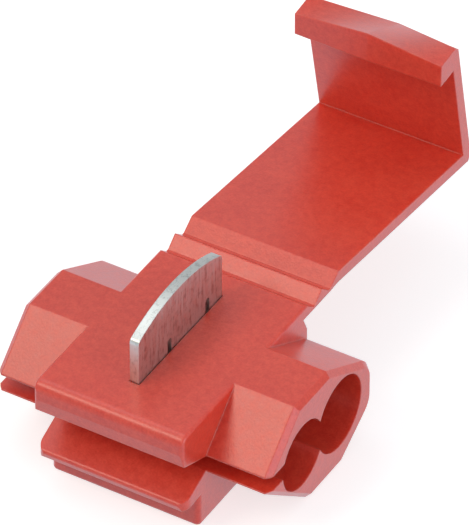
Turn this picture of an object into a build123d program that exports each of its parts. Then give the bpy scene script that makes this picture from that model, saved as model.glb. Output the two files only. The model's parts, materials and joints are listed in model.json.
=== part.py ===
from build123d import *
import os
from math import cos, radians, sin, tan

# Tap connector: a one-piece moulded housing with a hinged cover, and a flat contact plate.
# The housing lies with its two wire channels along X. The open mouth for the run wire faces -Y,
# the cover is hinged at +Y, and the seat is the XY plane. The origin is on the seat, close to
# midway between the two wire channels. Sizes are in millimetres.

# wire channels: two round bores that run into each other, run wire in front, tap wire behind
run_diameter = 4.8
tap_diameter = 5.3
channel_pitch = 4.5
channel_shift = 0.15
floor_thickness = 1.65
roof_thickness = 1.55
stop_thickness = 0.8

# sleeves: the faceted tube to the left and right of the block
sleeve_length = 19.7
sleeve_front_wall = 1.62
sleeve_back_wall = 1.4
end_chamfer = 0.35
top_flat_front = 2.65
top_flat_back = 1.2
front_facet_angle = 42.5
back_facet_angle = 28.6
front_edge_radius = 0.5
front_corner_radius = 0.25
back_edge_radius = 2.0
back_corner_radius = 1.6
keel_radius = 1.6
bottom_flat_back = 2.75
bottom_front_angle = 38.8
bottom_back_angle = 33.0
slot_height = 1.14
slot_rise = 0.35
lower_edge_height = 0.1

# block: the upper and lower jaw, the foot and the back wall
body_width = 10.7
block_back_wall = 1.0
jaw_reach = 2.78
upper_jaw_height = 2.3
upper_jaw_round = 0.7
jaw_undercut = 0.2
undercut_height = 1.0
mouth_depth = 2.75
lip_drop = 1.13
lip_thickness = 0.55
lip_setback = 0.15
lip_slope = 0.2
lip_edge_radius = 0.25
ledge_depth = 1.9
ledge_draft = 0.15
upper_corner_radius = 0.3
lower_corner_radius = 0.8
foot_corner_radius = 0.35
base_edge_radius = 0.3
side_edge_radius = 0.2
back_recess = 0.45
back_recess_height = 1.0
heel_chamfer = 0.6
web_root = 0.1

# how far a pick by position reaches to either side
pick_reach = 0.01

# living hinges: two V-grooves across the web behind the block, with a ridge between them
groove_depth = 0.7
groove_run = 0.85
web_width = 0.2
web_thickness = 0.2

# cover: a flat panel, an end wall that leans in, and a hook bar along the wall's top edge
flap_thickness = 0.85
panel_ramp = 1.0
panel_length = 16.0
panel_droop = 6.0
wall_height = 8.1
wall_lean = 11.5
corner_chamfer = 0.4
hook_reach = 1.6
hook_height = 1.65
hook_undercut = 0.2
hook_bulge = 0.1
hook_edge_chamfer = 0.3
hook_front_drop = 0.25
ridge_rise = 0.6
thumb_reach = 1.6
thumb_drop = 1.6
thumb_edge = 0.3

# contact: a flat plate with two open-bottomed wire slots
contact_thickness = 0.64
contact_clearance = 0.05
contact_front_setback = 0.4
contact_back_margin = 0.9
crown_height = 4.3
front_shoulder = 1.05
back_shoulder = 1.05
shoulder_radius = 0.4
crown_place = 0.5
tip_recess = 0.2
wire_slot_width = 0.45
wire_bite = 0.7
tip_lead = 0.3
pocket_clearance = 0.15

# places worked out from the sizes above
run_radius = run_diameter / 2
tap_radius = tap_diameter / 2
channel_height = floor_thickness + tap_radius
body_height = channel_height + tap_radius + roof_thickness
run_y = channel_shift - channel_pitch / 2
tap_y = channel_shift + channel_pitch / 2
sleeve_front = run_y - run_radius - sleeve_front_wall
sleeve_back = tap_y + tap_radius + sleeve_back_wall
block_back = tap_y + tap_radius + block_back_wall
flap_width = body_width
block_front = sleeve_front - jaw_reach
slot_top = channel_height + slot_rise + slot_height / 2
slot_bottom = slot_top - slot_height
ledge_z = slot_bottom - lip_drop - lip_thickness

hinge_y = block_back - web_root
groove_z = body_height - groove_depth
web_z = groove_z - web_thickness
strip_axis_y = hinge_y + groove_run + web_width / 2
cover_axis_y = strip_axis_y + web_width + 2 * groove_run


# Housing block: jaws, foot and back wall as one profile, with the mouth as a notch
mouth_y = block_front + mouth_depth
notch_y = run_y - run_radius / 2
block_profile = [
    (hinge_y, body_height),
    (block_front, body_height),
    (block_front, body_height - upper_jaw_height + undercut_height),
    (block_front + jaw_undercut, body_height - upper_jaw_height),
    (mouth_y, slot_top),
    (notch_y, slot_top),
    (notch_y, slot_bottom),
    (mouth_y, slot_bottom),
    (block_front + lip_setback, slot_bottom - lip_drop),
    (block_front + lip_setback + lip_slope, ledge_z),
    (block_front + ledge_depth, ledge_z + ledge_draft),
    (block_front + ledge_depth, 0),
    (block_back, 0),
    (block_back, web_z - back_recess_height),
    (block_back - back_recess, web_z),
    (strip_axis_y, web_z),
    (strip_axis_y, groove_z),
    (strip_axis_y - web_width / 2, groove_z),
]
# plan of the two jaws: the upper one is nearly square, the lower lip has round corners
plan_depth = strip_axis_y - block_front
jaw_split = (slot_top + slot_bottom) / 2
with BuildPart() as jaw_plan:
    with BuildSketch(Plane.XY) as lower_plan:
        with Locations((0, block_front + lip_setback + plan_depth / 2)):
            Rectangle(body_width, plan_depth)
        fillet(lower_plan.vertices().group_by(Axis.Y)[0], lower_corner_radius)
    extrude(amount=jaw_split)
    with BuildSketch(Plane.XY.offset(jaw_split)) as upper_plan:
        with Locations((0, block_front + plan_depth / 2)):
            Rectangle(body_width, plan_depth)
        fillet(upper_plan.vertices().group_by(Axis.Y)[0], upper_corner_radius)
    extrude(amount=body_height - jaw_split)

with BuildPart() as block:
    with BuildSketch(Plane.YZ) as block_section:
        Polygon(*block_profile, align=None)
        crown = block_section.vertices().group_by(Axis.Y)[-1].sort_by(Axis.X)[0]
        fillet(crown, upper_jaw_round)
        heel = block_section.vertices().group_by(Axis.Y)[0].sort_by(Axis.X)[-1]
        chamfer(heel, heel_chamfer)
        lip_front = block_front + lip_setback
        lip_edge = block_section.vertices().filter_by_position(
            Axis.X, lip_front - pick_reach, lip_front + pick_reach
        )
        fillet(lip_edge, lip_edge_radius)
    extrude(amount=body_width / 2, both=True)
    foot_front = block_front + ledge_depth
    foot_edges = block.edges().filter_by(Axis.Z).filter_by_position(
        Axis.Y, foot_front - pick_reach, foot_front + pick_reach
    )
    fillet(foot_edges, foot_corner_radius)
    side_edges = block.edges().filter_by(Axis.Y).group_by(Axis.Z)[-1]
    fillet(side_edges, side_edge_radius)
    add(jaw_plan.part, mode=Mode.INTERSECT)
    base_edges = block.faces().sort_by(Axis.Z)[0].edges().filter_by(Axis.Y)
    fillet(base_edges, base_edge_radius)

# Sleeves: a faceted outline, chamfered at both ends before anything is cut into it
front_drop = (-top_flat_front - sleeve_front) * tan(radians(front_facet_angle))
back_drop = (sleeve_back - top_flat_back) * tan(radians(back_facet_angle))
lower_edge_z = slot_bottom - lower_edge_height
keel_y = sleeve_front + lower_edge_z / tan(radians(bottom_front_angle))
back_rise = (sleeve_back - bottom_flat_back) * tan(radians(bottom_back_angle))
sleeve_profile = [
    (-top_flat_front, body_height),
    (top_flat_back, body_height),
    (sleeve_back, body_height - back_drop),
    (sleeve_back, back_rise),
    (bottom_flat_back, 0),
    (keel_y, 0),
    (sleeve_front, lower_edge_z),
    (sleeve_front, body_height - front_drop),
]
with BuildPart() as housing:
    with BuildSketch(Plane.YZ) as sleeve_section:
        Polygon(*sleeve_profile, align=None)
        back_corners = sleeve_section.vertices().group_by(Axis.X)[-1].sort_by(Axis.Y)
        top_corners = sleeve_section.vertices().group_by(Axis.Y)[-1].sort_by(Axis.X)
        keel_corners = sleeve_section.vertices().group_by(Axis.Y)[0]
        front_corner = sleeve_section.vertices().group_by(Axis.X)[0].sort_by(Axis.Y)[-1]
        fillet(back_corners, back_corner_radius)
        fillet(top_corners[-1], back_edge_radius)
        fillet(top_corners[0], front_edge_radius)
        fillet(keel_corners, keel_radius)
        fillet(front_corner, front_corner_radius)
    extrude(amount=sleeve_length / 2, both=True)
    ends = housing.faces().filter_by(Axis.X)
    chamfer(ends.edges(), end_chamfer)

    # slot that opens the run channel to the front, all along the sleeves
    with BuildSketch(Plane.YZ):
        with Locations(((notch_y + block_front) / 2, jaw_split)):
            Rectangle(notch_y - block_front, slot_height)
    extrude(amount=sleeve_length / 2, both=True, mode=Mode.SUBTRACT)
    add(block.part)

    # run and tap wire channels
    with BuildSketch(Plane.YZ):
        with Locations((run_y, channel_height)):
            Circle(run_radius)
        with Locations((tap_y, channel_height)):
            Circle(tap_radius)
    extrude(amount=sleeve_length / 2, both=True, mode=Mode.SUBTRACT)

    # stop that closes the left end of the tap channel
    with BuildSketch(Plane.YZ.offset(-sleeve_length / 2)):
        with Locations((tap_y, channel_height)):
            Circle(tap_radius)
        with Locations((run_y, channel_height)):
            Circle(run_radius, mode=Mode.SUBTRACT)
    extrude(amount=stop_thickness)

    # slot and pocket that guide the contact
    contact_front = sleeve_front + contact_front_setback
    contact_back = tap_y + tap_radius - contact_back_margin
    tip_z = channel_height + tap_radius + tip_recess
    pocket_z = tip_z - crown_height - pocket_clearance
    guide_length = contact_back - contact_front + 2 * contact_clearance
    with BuildSketch(Plane.XY.offset(pocket_z)):
        with Locations((0, (contact_front + contact_back) / 2)):
            Rectangle(contact_thickness + 2 * contact_clearance, guide_length)
    extrude(amount=body_height - pocket_z, mode=Mode.SUBTRACT)

# Hinge strip: the ridge between the two grooves, with half of each web
ridge_profile = [
    (strip_axis_y, web_z),
    (cover_axis_y, web_z),
    (cover_axis_y, groove_z),
    (cover_axis_y - web_width / 2, groove_z),
    (cover_axis_y - web_width / 2 - groove_run, body_height),
    (strip_axis_y + web_width / 2, groove_z),
    (strip_axis_y, groove_z),
]
with BuildPart() as hinge_strip:
    with BuildSketch(Plane.YZ):
        Polygon(*ridge_profile, align=None)
    extrude(amount=body_width / 2, both=True)

# Cover: panel and end wall as one folded profile
droop = radians(panel_droop)
lean = radians(wall_lean)
ramp_y = cover_axis_y + web_width / 2 + panel_ramp
corner_y = ramp_y + panel_length * cos(droop)
corner_z = body_height - panel_length * sin(droop)
wall_top_y = corner_y - wall_height * sin(lean)
wall_top_z = corner_z + wall_height * cos(lean)
wall_run = flap_thickness / cos(lean)
underside_y = ramp_y - flap_thickness * sin(droop)
underside_z = body_height - flap_thickness * cos(droop)
# where the panel's underside meets the outer face of the wall
heel_run = corner_y + wall_run - underside_y
heel_y = underside_y + (heel_run + (underside_z - corner_z) * -tan(lean)) / (1 - tan(droop) * tan(lean))
heel_z = underside_z - (heel_y - underside_y) * tan(droop)

cover_profile = [
    (cover_axis_y, web_z),
    (cover_axis_y + web_width / 2, web_z),
    (underside_y, underside_z),
    (heel_y, heel_z),
    (wall_top_y + wall_run, wall_top_z),
    (wall_top_y, wall_top_z),
    (corner_y, corner_z),
    (ramp_y, body_height),
    (cover_axis_y + web_width / 2, groove_z),
    (cover_axis_y, groove_z),
]
with BuildPart() as cover:
    with BuildSketch(Plane.YZ) as cover_section:
        Polygon(*cover_profile, align=None)
        outer_corner = cover_section.vertices().group_by(Axis.Y)[0].sort_by(Axis.X)[-1]
        chamfer(outer_corner, corner_chamfer)
    extrude(amount=flap_width / 2, both=True)

    # hook bar: a gabled top whose ridge runs out over the wall as a thumb lip at mid width
    outer_y = wall_top_y + wall_run
    crest_z = wall_top_z + hook_height
    end_section = [
        (wall_top_y - hook_reach, wall_top_z - hook_undercut),
        (wall_top_y - hook_reach, crest_z - hook_front_drop),
        (outer_y - hook_height * tan(lean) - hook_edge_chamfer, crest_z),
        (outer_y - (hook_height - hook_edge_chamfer) * tan(lean), crest_z - hook_edge_chamfer),
        (outer_y, wall_top_z),
        (wall_top_y, wall_top_z),
    ]
    middle_section = [
        (wall_top_y - hook_reach - hook_bulge, wall_top_z - hook_undercut),
        (wall_top_y - hook_reach - hook_bulge, crest_z - hook_front_drop + ridge_rise),
        (outer_y + thumb_reach, crest_z - thumb_drop),
        (outer_y + thumb_reach, crest_z - thumb_drop - thumb_edge),
        (outer_y, wall_top_z),
        (wall_top_y, wall_top_z),
    ]
    for side in (-1, 1):
        with BuildSketch(Plane.YZ.offset(side * flap_width / 2)):
            Polygon(*end_section, align=None)
        with BuildSketch(Plane.YZ):
            Polygon(*middle_section, align=None)
        loft(ruled=True)

# Contact: a plate with a crowned top edge and a slot over each wire
crown_z = body_height + crown_height
crown_y = contact_front + crown_place * (contact_back - contact_front)
slot_end_z = channel_height + wire_bite + crown_height
with BuildPart() as contact:
    with BuildSketch(Plane.YZ) as plate:
        with BuildLine():
            top_edge = ThreePointArc(
                (contact_front, crown_z - front_shoulder),
                (crown_y, crown_z),
                (contact_back, crown_z - back_shoulder),
            )
            Polyline(
                top_edge @ 1,
                (contact_back, tip_z),
                (contact_front, tip_z),
                top_edge @ 0,
            )
        make_face()
        shoulders = plate.vertices().group_by(Axis.Y)[-1] + plate.vertices().group_by(Axis.Y)[-2]
        fillet(shoulders, shoulder_radius)
        for wire_y in (run_y, tap_y):
            with Locations((wire_y, (tip_z + slot_end_z) / 2)):
                Rectangle(wire_slot_width, slot_end_z - tip_z, mode=Mode.SUBTRACT)
            with Locations((wire_y, slot_end_z)):
                Circle(wire_slot_width / 2, mode=Mode.SUBTRACT)
        lead_points = plate.vertices().group_by(Axis.Y)[0]
        chamfer(lead_points, tip_lead)
    extrude(amount=contact_thickness / 2, both=True)

os.makedirs("parts", exist_ok=True)
housing.part.label = "housing"
export_step(housing.part, "parts/housing.step")
hinge_strip.part.label = "hinge_strip"
export_step(hinge_strip.part, "parts/hinge_strip.step")
cover.part.label = "cover"
export_step(cover.part, "parts/cover.step")
contact.part.label = "contact"
export_step(contact.part, "parts/contact.step")
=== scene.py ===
import json
from math import cos, radians, sin

import bpy
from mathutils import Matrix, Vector


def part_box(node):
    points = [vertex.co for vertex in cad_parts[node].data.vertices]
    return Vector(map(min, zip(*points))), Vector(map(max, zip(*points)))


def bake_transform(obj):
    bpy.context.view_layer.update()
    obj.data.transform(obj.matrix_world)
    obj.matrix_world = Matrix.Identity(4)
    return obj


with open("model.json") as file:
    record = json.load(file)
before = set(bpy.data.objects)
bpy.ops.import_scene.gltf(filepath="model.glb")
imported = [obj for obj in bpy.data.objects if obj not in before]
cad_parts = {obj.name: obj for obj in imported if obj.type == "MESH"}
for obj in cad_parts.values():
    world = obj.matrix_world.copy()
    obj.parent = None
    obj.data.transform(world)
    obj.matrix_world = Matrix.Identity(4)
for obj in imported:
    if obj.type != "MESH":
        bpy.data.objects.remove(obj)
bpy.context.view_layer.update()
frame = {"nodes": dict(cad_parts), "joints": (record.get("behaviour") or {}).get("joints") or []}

# Moulded housing. One polypropylene moulding in signal red, shot against a finely blasted steel
# tool. It carries the block with its two jaws and the two faceted sleeves that guide the wires.
MM = 0.001

# where the moulding bends: the axes of its two living hinges, from the strip's front to its back
hinges = {
    joint["name"]: Vector(joint["pos_m"]) for joint in frame["joints"] if joint["type"] == "hinge"
}

# sockets of the Mix node, whose names repeat: two inputs and the result
VECTOR_A, VECTOR_B, VECTOR_OUT = 4, 5, 1
COLOUR_A, COLOUR_B, COLOUR_OUT = 6, 7, 2

# nearly all of a noise pattern lies between these two values
NOISE_LOW, NOISE_HIGH = 0.3, 0.7


def linear(hex_colour):
    """sRGB hex to the linear colour that the shaders take."""
    channels = [int(hex_colour[i:i + 2], 16) / 255 for i in (1, 3, 5)]
    values = [c / 12.92 if c <= 0.04045 else ((c + 0.055) / 1.055) ** 2.4 for c in channels]
    return (*values, 1.0)


def add_node(tree, kind, links=None, values=None, **settings):
    """Adds a node, sets its properties, puts values on its sockets and links the others."""
    node = tree.nodes.new(kind)
    for key, setting in settings.items():
        setattr(node, key, setting)
    for socket, value in (values or {}).items():
        node.inputs[socket].default_value = value
    for socket, source in (links or {}).items():
        tree.links.new(source, node.inputs[socket])
    return node


def new_material(name):
    """Empty node material, ready for its shader."""
    material = bpy.data.materials.new(name)
    material.use_nodes = True
    material.node_tree.nodes.clear()
    return material, material.node_tree


def moulded_polypropylene():
    """Polypropylene as moulded: light enters it and glows in the hollows, the melt leaves faint clouds,
    the blasted tool a satin grain, and a painted highlight draws a paler line along the edges. The real
    grain is too fine to show, so it is drawn coarser."""
    cloud_mm = 3.2
    mottle_mm = 0.45
    grain_mm = 0.14
    grain_height_mm = 0.02
    edge_mm = 0.12
    seam_mm = 0.25
    scatter_mm = 1.0
    material, tree = new_material("moulded_polypropylene")
    place = add_node(tree, "ShaderNodeTexCoord").outputs["Object"]
    cloud, mottle, grain = [
        add_node(
            tree, "ShaderNodeTexNoise", {"Vector": place}, {"Scale": 1 / (size_mm * MM), "Detail": detail}
        ).outputs["Fac"]
        for size_mm, detail in ((cloud_mm, 2.0), (mottle_mm, 3.0), (grain_mm, 2.0))
    ]

    # the tone follows the mottle, with most of the grain and less of the clouds added
    grain_share = 0.9
    cloud_share = 0.4
    middle = 0.5 * (1 + grain_share + cloud_share)
    spread = 0.3
    fine = add_node(
        tree, "ShaderNodeMath", {0: grain, 2: mottle}, {1: grain_share}, operation="MULTIPLY_ADD"
    )
    clouded = add_node(
        tree, "ShaderNodeMath", {0: cloud, 2: fine.outputs[0]}, {1: cloud_share},
        operation="MULTIPLY_ADD",
    )
    tone = add_node(
        tree, "ShaderNodeMapRange", {"Value": clouded.outputs[0]},
        {"From Min": middle - spread, "From Max": middle + spread},
    )
    reds = add_node(
        tree, "ShaderNodeMix", {"Factor": tone.outputs[0]},
        {COLOUR_A: linear("#D43A28"), COLOUR_B: linear("#E5503A")}, data_type="RGBA",
    )

    # the solids part at the hinges, where the moulding has no edge and its thin web is whole
    depth = add_node(tree, "ShaderNodeSeparateXYZ", {"Vector": place}).outputs["Y"]
    strip_seam, cover_seam = [
        add_node(
            tree, "ShaderNodeMath", {0: depth}, {1: hinge.y, 2: seam_mm * MM}, operation="COMPARE"
        ).outputs[0]
        for hinge in hinges.values()
    ]
    seam = add_node(tree, "ShaderNodeMath", {0: strip_seam, 1: cover_seam}, operation="MAXIMUM")

    # the rounded normal leaves the flat one only near an edge, and that is where a paler painted
    # highlight is mixed into the red
    bevel = add_node(tree, "ShaderNodeBevel", values={"Radius": edge_mm * MM}, samples=6)
    flat = add_node(tree, "ShaderNodeNewGeometry").outputs["Normal"]
    rounded = add_node(
        tree, "ShaderNodeMix", {"Factor": seam.outputs[0], VECTOR_A: bevel.outputs[0], VECTOR_B: flat},
        data_type="VECTOR",
    ).outputs[VECTOR_OUT]
    agreement = add_node(tree, "ShaderNodeVectorMath", {0: rounded, 1: flat}, operation="DOT_PRODUCT")
    # painted highlight: up to 0.18 of a pale red along every edge, where the bevel normal turns away
    painted_edge_highlight = add_node(
        tree, "ShaderNodeMapRange", {"Value": agreement.outputs["Value"]},
        {"From Min": 1.0, "From Max": 0.75, "To Max": 0.18},
    )
    # the reds with the painted edge highlight mixed in
    reds_with_painted_highlight = add_node(
        tree, "ShaderNodeMix", {"Factor": painted_edge_highlight.outputs[0], COLOUR_A: reds.outputs[COLOUR_OUT]},
        {COLOUR_B: linear("#E59C8C")}, data_type="RGBA",
    )

    roughness = add_node(
        tree, "ShaderNodeMapRange", {"Value": mottle},
        {"From Min": NOISE_LOW, "From Max": NOISE_HIGH, "To Min": 0.3, "To Max": 0.38},
    )
    relief = add_node(
        tree, "ShaderNodeBump", {"Height": grain, "Normal": rounded},
        {"Strength": 0.5, "Distance": grain_height_mm * MM},
    )
    # no light enters at a seam, where it would leak out of the half webs and darken them
    scatter = add_node(
        tree, "ShaderNodeMapRange", {"Value": seam.outputs[0]}, {"To Min": 0.5, "To Max": 0.0}
    )
    shader = add_node(
        tree, "ShaderNodeBsdfPrincipled",
        {
            "Base Color": reds_with_painted_highlight.outputs[COLOUR_OUT], "Roughness": roughness.outputs[0],
            "Subsurface Weight": scatter.outputs[0],
            "Normal": relief.outputs[0], "Coat Normal": relief.outputs[0],
        },
        {
            "IOR": 1.49, "Subsurface Radius": (1.0, 0.2, 0.16), "Subsurface Scale": scatter_mm * MM,
            "Coat Weight": 0.7, "Coat Roughness": 0.36, "Coat IOR": 1.5,
        },
    )
    add_node(tree, "ShaderNodeOutputMaterial", {"Surface": shader.outputs[0]})
    return material


red_plastic = moulded_polypropylene()


def finish_node(name, material):
    """Gives a carried-over solid its material."""
    mesh = frame["nodes"][name].data
    mesh.materials.clear()
    mesh.materials.append(material)


finish_node("housing", red_plastic)

# Hinge strip and cover. Parts of the same moulding, joined to the block by two thin webs that
# bend as living hinges; the panel ends in a leaning wall with the hook bar along its top.
finish_node("hinge_strip", red_plastic)
finish_node("cover", red_plastic)

# the strips across the hinges lie just inside the webs, whose top is at the hinges' height
WEB_INSET = 0.01 * MM
WEB_REACH = 0.3 * MM
WEB_STEPS = 24
strip_low, strip_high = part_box("hinge_strip")
WEB_HALF_WIDTH = strip_high[0] - WEB_INSET
WEB_BOTTOM = strip_low[2] + WEB_INSET
WEB_TOP = hinges["strip_hinge"].z - WEB_INSET


def bending_web(name, hinge):
    """Closed strip inside a web, in thin slices across the hinge, that closes the web's outer side."""
    vertices = []
    for i in range(WEB_STEPS + 1):
        y = hinge.y + WEB_REACH * (2 * i / WEB_STEPS - 1)
        vertices += [
            (-WEB_HALF_WIDTH, y, WEB_BOTTOM), (WEB_HALF_WIDTH, y, WEB_BOTTOM),
            (WEB_HALF_WIDTH, y, WEB_TOP), (-WEB_HALF_WIDTH, y, WEB_TOP),
        ]
    faces = [(0, 1, 2, 3)]
    for i in range(WEB_STEPS):
        for corner in range(4):
            a = 4 * i + corner
            b = 4 * i + (corner + 1) % 4
            faces.append((a, a + 4, b + 4, b))
    last = 4 * WEB_STEPS
    faces.append((last + 3, last + 2, last + 1, last))
    mesh = bpy.data.meshes.new(name)
    mesh.from_pydata(vertices, [], faces)
    mesh.materials.append(red_plastic)
    web = bpy.data.objects.new(name, mesh)
    bpy.context.collection.objects.link(web)
    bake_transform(web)


bending_web("strip_web", hinges["strip_hinge"])
bending_web("cover_web", hinges["cover_hinge"])

# Contact. A plate stamped from brass strip and bright tin plated afterwards, so its faces keep
# fine upright lines from the rolling and its sheared edges are smoother and lighter.


def tin_plate():
    """Bright tin over rolled brass: a clean grey mirror, dulled by rolling lines and small spots. The
    real lines are too fine to show, so they are drawn coarser."""
    line_mm = 0.09
    line_length_mm = 1.5
    spot_mm = 0.4
    edge_mm = 0.05
    material, tree = new_material("tin_plated_brass")
    place = add_node(tree, "ShaderNodeTexCoord").outputs["Object"]
    upright = add_node(
        tree, "ShaderNodeMapping", {"Vector": place}, {"Scale": (1.0, 1.0, line_mm / line_length_mm)}
    )
    lines = add_node(
        tree, "ShaderNodeTexNoise", {"Vector": upright.outputs[0]},
        {"Scale": 1 / (line_mm * MM), "Detail": 2.0},
    ).outputs["Fac"]
    spots = add_node(
        tree, "ShaderNodeTexNoise", {"Vector": place}, {"Scale": 1 / (spot_mm * MM), "Detail": 3.0}
    ).outputs["Fac"]

    # dull where both patterns are low, and clean from their middle upwards
    both = add_node(tree, "ShaderNodeMath", {0: lines, 1: spots}, operation="ADD")
    tones = add_node(tree, "ShaderNodeValToRGB", {"Fac": both.outputs[0]})
    dull, clean = tones.color_ramp.elements
    dull.position = 0.75
    dull.color = linear("#BCC1BD")
    clean.position = 1.0
    clean.color = linear("#DBDFDB")
    roughness = add_node(
        tree, "ShaderNodeMapRange", {"Value": lines},
        {"From Min": NOISE_LOW, "From Max": NOISE_HIGH, "To Min": 0.3, "To Max": 0.46},
    )
    rounded = add_node(tree, "ShaderNodeBevel", values={"Radius": edge_mm * MM}, samples=6)
    shader = add_node(
        tree, "ShaderNodeBsdfPrincipled",
        {
            "Base Color": tones.outputs["Color"], "Roughness": roughness.outputs[0],
            "Normal": rounded.outputs[0],
        },
        {"Metallic": 1.0},
    )
    add_node(tree, "ShaderNodeOutputMaterial", {"Surface": shader.outputs[0]})
    return material


finish_node("contact", tin_plate())

# Studio. A white sweep in a pale room, lit by a warm soft lamp high at the front left, a plain one
# above the left end and a low cool one at the right. The camera stands where the connector is
# seen from above its front right, and aims at a point near the hinges.
FLOOR_SIZE = 6.0
LAMP_DISTANCE = 0.9


def white_sweep():
    """Matt floor that the camera and all gloss see as white, and that still takes the shadow."""
    material, tree = new_material("white_floor")
    matt = add_node(tree, "ShaderNodeBsdfDiffuse", values={"Color": linear("#C4C4C4")})
    rays = add_node(tree, "ShaderNodeLightPath")
    camera_glow = add_node(
        tree, "ShaderNodeEmission", {"Strength": rays.outputs["Is Camera Ray"]},
        {"Color": linear("#D6D6D6")},
    )
    lit = add_node(tree, "ShaderNodeAddShader", {0: matt.outputs[0], 1: camera_glow.outputs[0]})
    white = add_node(tree, "ShaderNodeEmission", values={"Color": linear("#F2F5FF"), "Strength": 1.0})
    total = add_node(
        tree, "ShaderNodeMixShader",
        {0: rays.outputs["Is Glossy Ray"], 1: lit.outputs[0], 2: white.outputs[0]},
    )
    add_node(tree, "ShaderNodeOutputMaterial", {"Surface": total.outputs[0]})
    return material


floor_mesh = bpy.data.meshes.new("floor")
edge = FLOOR_SIZE / 2
corners = [(-edge, -edge, 0), (edge, -edge, 0), (edge, edge, 0), (-edge, edge, 0)]
floor_mesh.from_pydata(corners, [], [(0, 1, 2, 3)])
floor_mesh.materials.append(white_sweep())
floor = bpy.data.objects.new("floor", floor_mesh)
bpy.context.collection.objects.link(floor)

world = bpy.data.worlds.new("soft_room")
world.use_nodes = True
room = world.node_tree
room.nodes.clear()
rays = add_node(room, "ShaderNodeLightPath")
seen = add_node(
    room, "ShaderNodeMath",
    {0: rays.outputs["Is Camera Ray"], 1: rays.outputs["Is Transmission Ray"]}, operation="MAXIMUM",
)
room_light = add_node(
    room, "ShaderNodeBackground", values={"Color": linear("#F4F6FA"), "Strength": 0.62}
)
backdrop = add_node(
    room, "ShaderNodeBackground", values={"Color": linear("#FFFFFF"), "Strength": 1.0}
)
either = add_node(
    room, "ShaderNodeMixShader", {0: seen.outputs[0], 1: room_light.outputs[0], 2: backdrop.outputs[0]}
)
add_node(room, "ShaderNodeOutputWorld", {"Surface": either.outputs[0]})
bpy.context.scene.world = world


def direction(azimuth, elevation):
    """Unit vector from the object to a place at that azimuth and elevation in degrees. At azimuth 0
    the place is in front of the open mouth."""
    a = radians(azimuth)
    e = radians(elevation)
    return Vector((sin(a) * cos(e), -cos(a) * cos(e), sin(e)))


def soft_lamp(name, azimuth, elevation, size, watts, colour):
    """Square lamp that faces the object."""
    data = bpy.data.lights.new(name, "AREA")
    data.size = size
    data.energy = watts
    data.color = linear(colour)[:3]
    lamp = bpy.data.objects.new(name, data)
    lamp.location = direction(azimuth, elevation) * LAMP_DISTANCE
    lamp.rotation_euler = (-lamp.location).to_track_quat("-Z", "Y").to_euler()
    bpy.context.collection.objects.link(lamp)


soft_lamp("key_lamp", azimuth=-35, elevation=48, size=0.3, watts=1.8, colour="#FFF0DC")
soft_lamp("top_lamp", azimuth=-115, elevation=65, size=0.5, watts=0.9, colour="#FFFFFF")
soft_lamp("side_lamp", azimuth=84, elevation=12, size=0.6, watts=3.0, colour="#EEF0FF")

CAMERA_AZIMUTH = 30.9
CAMERA_ELEVATION = 39.6
CAMERA_DISTANCE = 0.420
FIELD_HEIGHT = 32.71 * MM
SENSOR_HEIGHT = 36.0
aim = Vector((-0.205, 6.536, 9.235)) * MM
camera_data = bpy.data.cameras.new("camera")
camera_data.sensor_fit = "VERTICAL"
camera_data.sensor_height = SENSOR_HEIGHT
camera_data.lens = SENSOR_HEIGHT * CAMERA_DISTANCE / FIELD_HEIGHT
camera_data.clip_start = 0.01
camera = bpy.data.objects.new("camera", camera_data)
camera.location = aim + direction(CAMERA_AZIMUTH, CAMERA_ELEVATION) * CAMERA_DISTANCE
camera.rotation_euler = (aim - camera.location).to_track_quat("-Z", "Y").to_euler()
bpy.context.collection.objects.link(camera)
bpy.context.scene.camera = camera
bpy.context.scene.view_settings.view_transform = "Standard"
